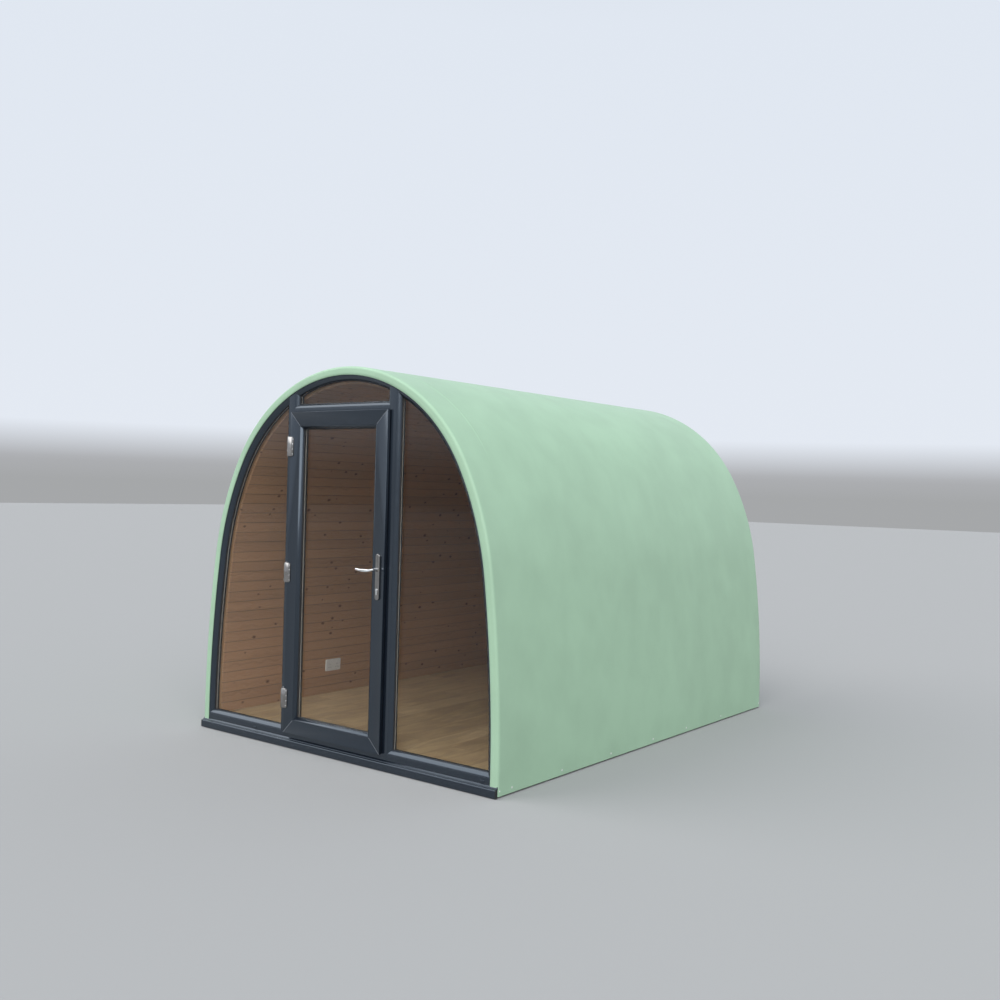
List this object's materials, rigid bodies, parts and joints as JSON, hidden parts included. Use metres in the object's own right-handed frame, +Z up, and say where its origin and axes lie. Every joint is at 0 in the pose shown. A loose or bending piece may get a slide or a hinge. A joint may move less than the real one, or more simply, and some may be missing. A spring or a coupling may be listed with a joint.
{
  "type": "garden office pod",
  "caption": "Insulated garden room under a smooth arched shell, its glazed end wall with a hinged glass door between fixed lights.",
  "frame": {"origin": "on the ground under the middle of the shell, at the underside of the middle bearer", "axes": "+X to the right seen from the glazed end, +Y along the room towards the back wall, +Z up; the glazed end faces -Y"},
  "size_m": [2.5, 3.4612, 2.3666],
  "materials": {
    "bearer_timber": "sawn",
    "insulated_panel": "foam core with ply faces",
    "floor_laminate": "satin",
    "green_shell": "gloss",
    "pine_board": "satin",
    "grey_frame": "satin",
    "clear_glass": "clear",
    "spacer_bar": "matt",
    "satin_metal": "satin",
    "bright_metal": "polished",
    "white_plastic": "gloss"
  },
  "bodies": {
    "building": {"base_bearers": "bearer_timber", "floor_panel": "insulated_panel", "floor_finish": "floor_laminate", "wall_left": "insulated_panel", "wall_right": "insulated_panel", "haunch_left": "insulated_panel", "haunch_right": "insulated_panel", "roof_side_left": "insulated_panel", "roof_side_right": "insulated_panel", "roof_top_left": "insulated_panel", "roof_top_right": "insulated_panel", "outer_skin": "green_shell", "back_wall": "insulated_panel", "back_skin": "green_shell", "lining_left": "pine_board", "lining_right": "pine_board", "ceiling_lining": "pine_board", "back_lining": "pine_board", "arch_frame": "grey_frame", "bottom_rail": "grey_frame", "mullion_left": "grey_frame", "mullion_right": "grey_frame", "transom": "grey_frame", "cill": "grey_frame", "cill_end_caps": "grey_frame", "glass_left": "clear_glass", "glass_right": "clear_glass", "fanlight_glass": "clear_glass", "spacer_bars": "spacer_bar", "inner_beads": "grey_frame", "frame_hinges": "satin_metal", "lock_keep": "satin_metal", "double_socket": "white_plastic"},
    "door": {"hinge_stile": "grey_frame", "lock_stile": "grey_frame", "door_top_rail": "grey_frame", "door_bottom_rail": "grey_frame", "door_glass": "clear_glass", "door_spacer": "spacer_bar", "door_beads": "grey_frame", "leaf_hinges": "satin_metal", "handle_plates": "bright_metal", "lock_cylinder": "bright_metal"},
    "lever": {"lever_outside": "bright_metal", "lever_inside": "bright_metal"}
  },
  "joints": [
    {"name": "door_hinge", "type": "hinge", "parent": "building", "child": "door", "pos_m": [-0.438, -1.723, 1.108], "axis": [0, 0, -1], "range_deg": [0, 100]},
    {"name": "lever_turn", "type": "hinge", "parent": "door", "child": "lever", "pos_m": [0.3515, -1.722, 1.167], "axis": [0, -1, 0], "range_deg": [-35, 40], "stiffness_Nm_per_rad": 3}
  ]
}
